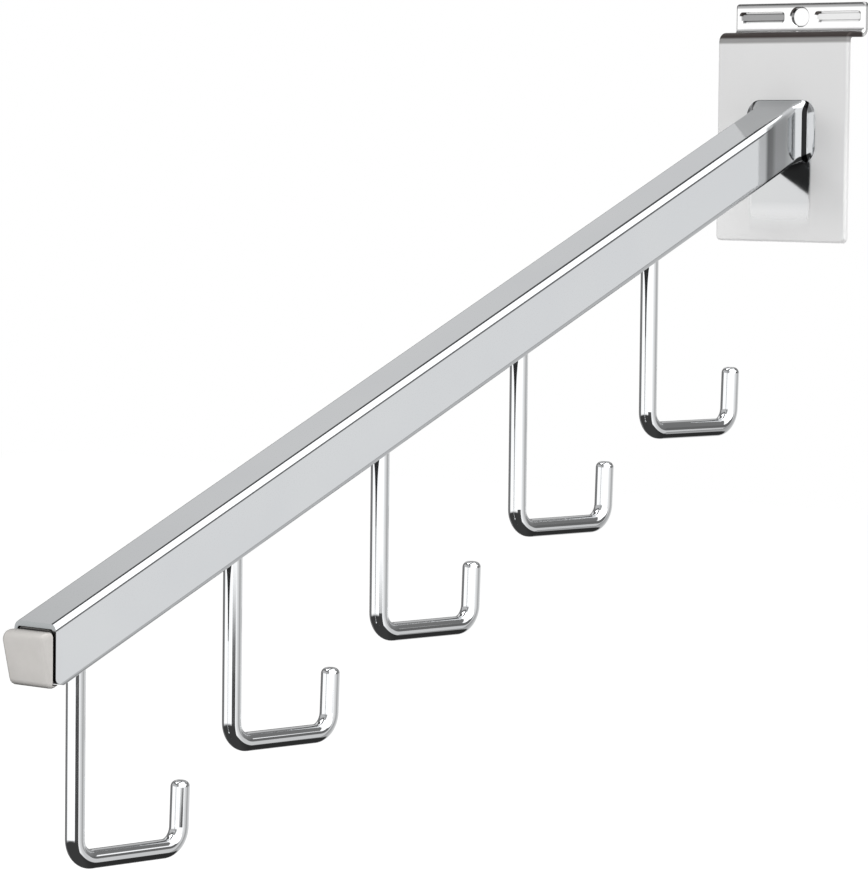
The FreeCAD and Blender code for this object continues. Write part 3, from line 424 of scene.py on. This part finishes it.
# The body slopes with the tube, its ribs grip the bore, and it is hollow from the rear
body_rear = TUBE_END[0] + PLUG_LENGTH
body = box("plug_body", PLUG_SIZE, body_rear, TUBE_END[0] - PLUG_SIZE / 2, TUBE_END[1] - PLUG_SIZE / 2,
           TUBE_END[1] + PLUG_SIZE / 2)
round_edges(body, lambda at: abs(at[0].y - at[1].y) > NEAR, PLUG_CORNER, 4)
rib = box("plug_rib", RIB_SIZE, body_rear - RIB_WIDTH, body_rear - 2 * RIB_WIDTH, TUBE_END[1] - RIB_SIZE / 2,
          TUBE_END[1] + RIB_SIZE / 2)
round_edges(rib, lambda at: abs(at[0].y - at[1].y) > RIB_WIDTH / 2, PLUG_CORNER, 4)
apply_modifier(rib, "ARRAY", count=RIBS, use_relative_offset=False, use_constant_offset=True,
               constant_offset_displace=(0, -RIB_PITCH, 0))
combine(body, rib, "UNION")
inside = PLUG_SIZE / 2 - PLUG_WALL
hollow = box("plug_hollow", 2 * inside, body_rear + RIB_WIDTH, TUBE_END[0] + PLUG_WALL, TUBE_END[1] - inside,
             TUBE_END[1] + inside)
round_edges(hollow, lambda at: abs(at[0].y - at[1].y) > NEAR, PLUG_WALL / 2, 3)
combine(body, hollow, "DIFFERENCE")
edit(body, "polygons", lambda at: True)
bpy.ops.transform.rotate(value=-ARM_SLOPE, orient_axis="X", center_override=(0, *TUBE_END))
bpy.ops.object.mode_set(mode="OBJECT")
beyond_end = box("beyond_end", 2 * HEAD_WIDTH, TUBE_END[0] - END_CUT, TUBE_END[0] - PLUG_SIZE,
                 TUBE_END[1] - PLUG_SIZE, TUBE_END[1] + PLUG_SIZE)
combine(body, beyond_end, "DIFFERENCE")
combine(head, body, "UNION")

end_cap = head
end_cap.name = "end_plug"
face_outward(end_cap)
bpy.ops.object.shade_smooth_by_angle(angle=math.radians(40))

# Moulded polyethylene, the usual plastic of such plugs, with a fine spark grain: it gives the eye a soft satin
# light grey and no mirror
moulded, tree = empty_material("moulded_cap")
even = in_millimetres(tree)
place = add_node(tree, "ShaderNodeSeparateXYZ", {0: even}).outputs
cloud = add_node(tree, "ShaderNodeTexNoise", {"Vector": even, "Scale": 0.2, "Detail": 2}).outputs[0]
tone = add_node(tree, "ShaderNodeMix", {0: cloud, 6: linear("#C2BFBB"), 7: linear("#CAC7C4")},
                data_type="RGBA").outputs[2]
gloss = add_node(tree, "ShaderNodeMapRange", {0: cloud, 1: 0.3, 2: 0.7, 3: 0.36, 4: 0.46}).outputs[0]
grain = add_node(tree, "ShaderNodeTexNoise", {"Vector": even, "Scale": 6.0, "Detail": 2}).outputs[0]
relief = add_node(tree, "ShaderNodeBump", {"Height": grain, "Distance": 0.00001, "Strength": 1.0}).outputs[0]
# Behind the head and above the heel lies the groove before the tube's end, darkened with painted shade
behind = add_node(tree, "ShaderNodeMapRange",
                  {0: place["Y"], 1: GROOVE_FRONT[0], 2: GROOVE_FRONT[1], 3: 1, 4: 0.08}).outputs[0]
groove_shade = add_node(tree, "ShaderNodeMapRange",
                  {0: place["Z"], 1: GROOVE_FOOT[0], 2: GROOVE_FOOT[1], 3: 1, 4: behind}).outputs[0]
# Painted shade: thin rounded edges turned away from view and the underside are darkened
turned_away = add_node(tree, "ShaderNodeLayerWeight", {"Blend": 0.5}).outputs["Facing"]
rim_and_groove_shade = add_node(tree, "ShaderNodeMapRange", {0: turned_away, 1: 0.4, 2: 0.85, 3: groove_shade, 4: 0.5}).outputs[0]
normal = add_node(tree, "ShaderNodeNewGeometry").outputs["Normal"]
facing = add_node(tree, "ShaderNodeSeparateXYZ", {0: normal}).outputs
under = add_node(tree, "ShaderNodeMapRange", {0: facing["Z"], 1: -0.25, 2: -0.8, 3: 1, 4: 0.4}).outputs[0]
dimmed = add_node(tree, "ShaderNodeMath", {0: rim_and_groove_shade, 1: under}, operation="MULTIPLY").outputs[0]
colour = add_node(tree, "ShaderNodeVectorMath", {0: tone, 3: dimmed}, operation="SCALE").outputs[0]
plastic = add_node(tree, "ShaderNodeBsdfPrincipled",
                   {"Base Color": colour, "Roughness": gloss, "Normal": relief}).outputs[0]
add_node(tree, "ShaderNodeOutputMaterial", {0: plastic})
end_cap.data.materials.append(moulded)
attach(end_cap, "root")
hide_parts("end_cap")


bpy.context.scene.view_settings.view_transform = "Standard"
